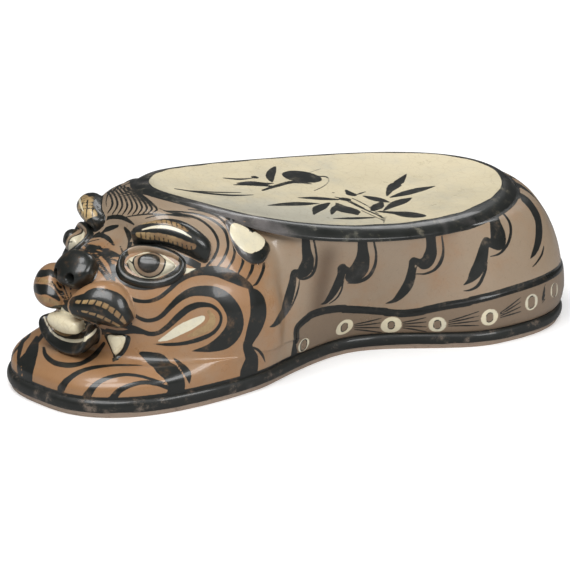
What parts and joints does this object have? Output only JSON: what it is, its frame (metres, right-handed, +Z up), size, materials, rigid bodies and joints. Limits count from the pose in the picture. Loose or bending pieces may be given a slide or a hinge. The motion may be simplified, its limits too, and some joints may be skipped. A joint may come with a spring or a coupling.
{
  "type": "chinese ceramic pillow",
  "caption": "Hollow stoneware pillow shaped as a lying tiger, with an oval concave headrest on its back, a turned head with pierced nostrils, and a flat base to rest on.",
  "frame": {"origin": "middle of the base's box, on the surface that the pillow rests on", "axes": "+X from the head towards the rump, +Y to the tiger's right, +Z up"},
  "size_m": [0.3914, 0.17, 0.1129],
  "materials": {
    "slip": "tan slip under a clear glossy glaze, painted with black stripes",
    "iron_black": "black iron pigment under a clear glossy glaze",
    "cream_slip": "cream slip under a clear glaze with fine crazing",
    "bare_clay": "bare fired clay, matt"
  },
  "bodies": {
    "root": {"base_slab": "bare_clay", "head_shell": "slip", "left_flank_shell": "slip", "right_flank_shell": "slip", "headrest_slab": "cream_slip", "left_ear": "cream_slip", "right_ear": "cream_slip", "left_brow": "iron_black", "right_brow": "iron_black", "left_eyeball": "cream_slip", "right_eyeball": "cream_slip", "left_eyelid": "iron_black", "right_eyelid": "iron_black", "nose": "iron_black", "left_whisker_pad": "iron_black", "right_whisker_pad": "iron_black", "tongue": "cream_slip", "lower_jaw": "iron_black", "left_fang": "cream_slip", "right_fang": "cream_slip", "tail": "slip", "floor_seam_coil": "bare_clay", "headrest_seam_coil": "bare_clay", "left_neck_coil": "bare_clay", "right_neck_coil": "bare_clay", "rump_coil": "bare_clay"}
  },
  "joints": []
}
